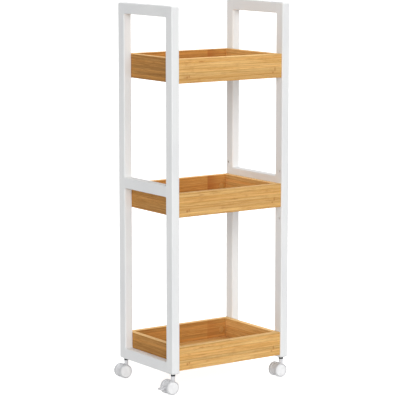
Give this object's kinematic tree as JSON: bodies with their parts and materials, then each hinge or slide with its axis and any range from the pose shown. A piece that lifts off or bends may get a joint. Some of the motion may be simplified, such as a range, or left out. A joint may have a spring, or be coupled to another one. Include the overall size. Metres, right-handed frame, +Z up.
{
  "type": "rolling utility cart",
  "caption": "Slim rolling utility cart: white ladder side frames with handle rails, open bamboo trays between them and twin-wheel swivel casters, some with a foot brake.",
  "frame": {"origin": "on the floor, under the middle of the two side frames (the wheels' lowest points are at z = 0)", "axes": "+X to the right along the trays' length, +Y from the front to the back, +Z up; at rest all casters trail towards -X"},
  "size_m": [0.3472, 0.2216, 0.86],
  "materials": {
    "white_lacquer": "sprayed white lacquer, satin",
    "bamboo": "carbonised bamboo lamella, clear satin lacquer",
    "beech": "fluted dowel, unfinished",
    "zinc_steel": "bright zinc plated",
    "zinc_cast": "die-cast zinc",
    "black_steel": "black oxide",
    "white_nylon": "moulded nylon, fine texture",
    "cover_plastic": "moulded, bamboo coloured"
  },
  "bodies": {
    "cart": {"left_front_post": "white_lacquer", "left_rear_post": "white_lacquer", "left_top_rail": "white_lacquer", "left_middle_rail": "white_lacquer", "left_bottom_rail": "white_lacquer", "right_front_post": "white_lacquer", "right_rear_post": "white_lacquer", "right_top_rail": "white_lacquer", "right_middle_rail": "white_lacquer", "right_bottom_rail": "white_lacquer", "lower_tray_front": "bamboo", "lower_tray_back": "bamboo", "lower_tray_left": "bamboo", "lower_tray_right": "bamboo", "lower_tray_floor": "bamboo", "middle_tray_front": "bamboo", "middle_tray_back": "bamboo", "middle_tray_left": "bamboo", "middle_tray_right": "bamboo", "middle_tray_floor": "bamboo", "upper_tray_front": "bamboo", "upper_tray_back": "bamboo", "upper_tray_left": "bamboo", "upper_tray_right": "bamboo", "upper_tray_floor": "bamboo", "frame_dowels": "beech", "tray_dowels": "beech", "cam_bolts": "zinc_steel", "cam_locks": "zinc_cast", "cam_covers": "cover_plastic", "caster_inserts": "zinc_steel", "caster_washers": "white_nylon", "stem_clips": "zinc_steel", "caster_stems": "zinc_steel", "caster_nuts": "black_steel"},
    "front_left_caster": {"front_left_caster_hood": "white_nylon", "front_left_caster_axle": "zinc_steel"},
    "front_left_wheel_1": {"front_left_caster_wheel_1": "white_nylon"},
    "front_left_wheel_2": {"front_left_caster_wheel_2": "white_nylon"},
    "front_left_brake": {"front_left_brake_lever": "white_nylon"},
    "rear_left_caster": {"rear_left_caster_hood": "white_nylon", "rear_left_caster_axle": "zinc_steel"},
    "rear_left_wheel_1": {"rear_left_caster_wheel_1": "white_nylon"},
    "rear_left_wheel_2": {"rear_left_caster_wheel_2": "white_nylon"},
    "front_right_caster": {"front_right_caster_hood": "white_nylon", "front_right_caster_axle": "zinc_steel"},
    "front_right_wheel_1": {"front_right_caster_wheel_1": "white_nylon"},
    "front_right_wheel_2": {"front_right_caster_wheel_2": "white_nylon"},
    "rear_right_caster": {"rear_right_caster_hood": "white_nylon", "rear_right_caster_axle": "zinc_steel"},
    "rear_right_wheel_1": {"rear_right_caster_wheel_1": "white_nylon"},
    "rear_right_wheel_2": {"rear_right_caster_wheel_2": "white_nylon"},
    "rear_right_brake": {"rear_right_brake_lever": "white_nylon"}
  },
  "joints": [
    {"name": "front_left_swivel", "type": "hinge", "parent": "cart", "child": "front_left_caster", "pos_m": [-0.15, -0.096, 0.03], "axis": [0, 0, 1], "continuous": true},
    {"name": "front_left_wheel_1_spin", "type": "hinge", "parent": "front_left_caster", "child": "front_left_wheel_1", "pos_m": [-0.159, -0.096, 0.016], "axis": [0, 1, 0], "continuous": true},
    {"name": "front_left_wheel_2_spin", "type": "hinge", "parent": "front_left_caster", "child": "front_left_wheel_2", "pos_m": [-0.159, -0.096, 0.016], "axis": [0, 1, 0], "continuous": true},
    {"name": "front_left_brake_press", "type": "hinge", "parent": "front_left_caster", "child": "front_left_brake", "pos_m": [-0.169, -0.096, 0.0205], "axis": [0, -1, 0], "range_deg": [0, 14]},
    {"name": "rear_left_swivel", "type": "hinge", "parent": "cart", "child": "rear_left_caster", "pos_m": [-0.15, 0.096, 0.03], "axis": [0, 0, 1], "continuous": true},
    {"name": "rear_left_wheel_1_spin", "type": "hinge", "parent": "rear_left_caster", "child": "rear_left_wheel_1", "pos_m": [-0.159, 0.096, 0.016], "axis": [0, 1, 0], "continuous": true},
    {"name": "rear_left_wheel_2_spin", "type": "hinge", "parent": "rear_left_caster", "child": "rear_left_wheel_2", "pos_m": [-0.159, 0.096, 0.016], "axis": [0, 1, 0], "continuous": true},
    {"name": "front_right_swivel", "type": "hinge", "parent": "cart", "child": "front_right_caster", "pos_m": [0.15, -0.096, 0.03], "axis": [0, 0, 1], "continuous": true},
    {"name": "front_right_wheel_1_spin", "type": "hinge", "parent": "front_right_caster", "child": "front_right_wheel_1", "pos_m": [0.141, -0.096, 0.016], "axis": [0, 1, 0], "continuous": true},
    {"name": "front_right_wheel_2_spin", "type": "hinge", "parent": "front_right_caster", "child": "front_right_wheel_2", "pos_m": [0.141, -0.096, 0.016], "axis": [0, 1, 0], "continuous": true},
    {"name": "rear_right_swivel", "type": "hinge", "parent": "cart", "child": "rear_right_caster", "pos_m": [0.15, 0.096, 0.03], "axis": [0, 0, 1], "continuous": true},
    {"name": "rear_right_wheel_1_spin", "type": "hinge", "parent": "rear_right_caster", "child": "rear_right_wheel_1", "pos_m": [0.141, 0.096, 0.016], "axis": [0, 1, 0], "continuous": true},
    {"name": "rear_right_wheel_2_spin", "type": "hinge", "parent": "rear_right_caster", "child": "rear_right_wheel_2", "pos_m": [0.141, 0.096, 0.016], "axis": [0, 1, 0], "continuous": true},
    {"name": "rear_right_brake_press", "type": "hinge", "parent": "rear_right_caster", "child": "rear_right_brake", "pos_m": [0.131, 0.096, 0.0205], "axis": [0, -1, 0], "range_deg": [0, 14]}
  ]
}
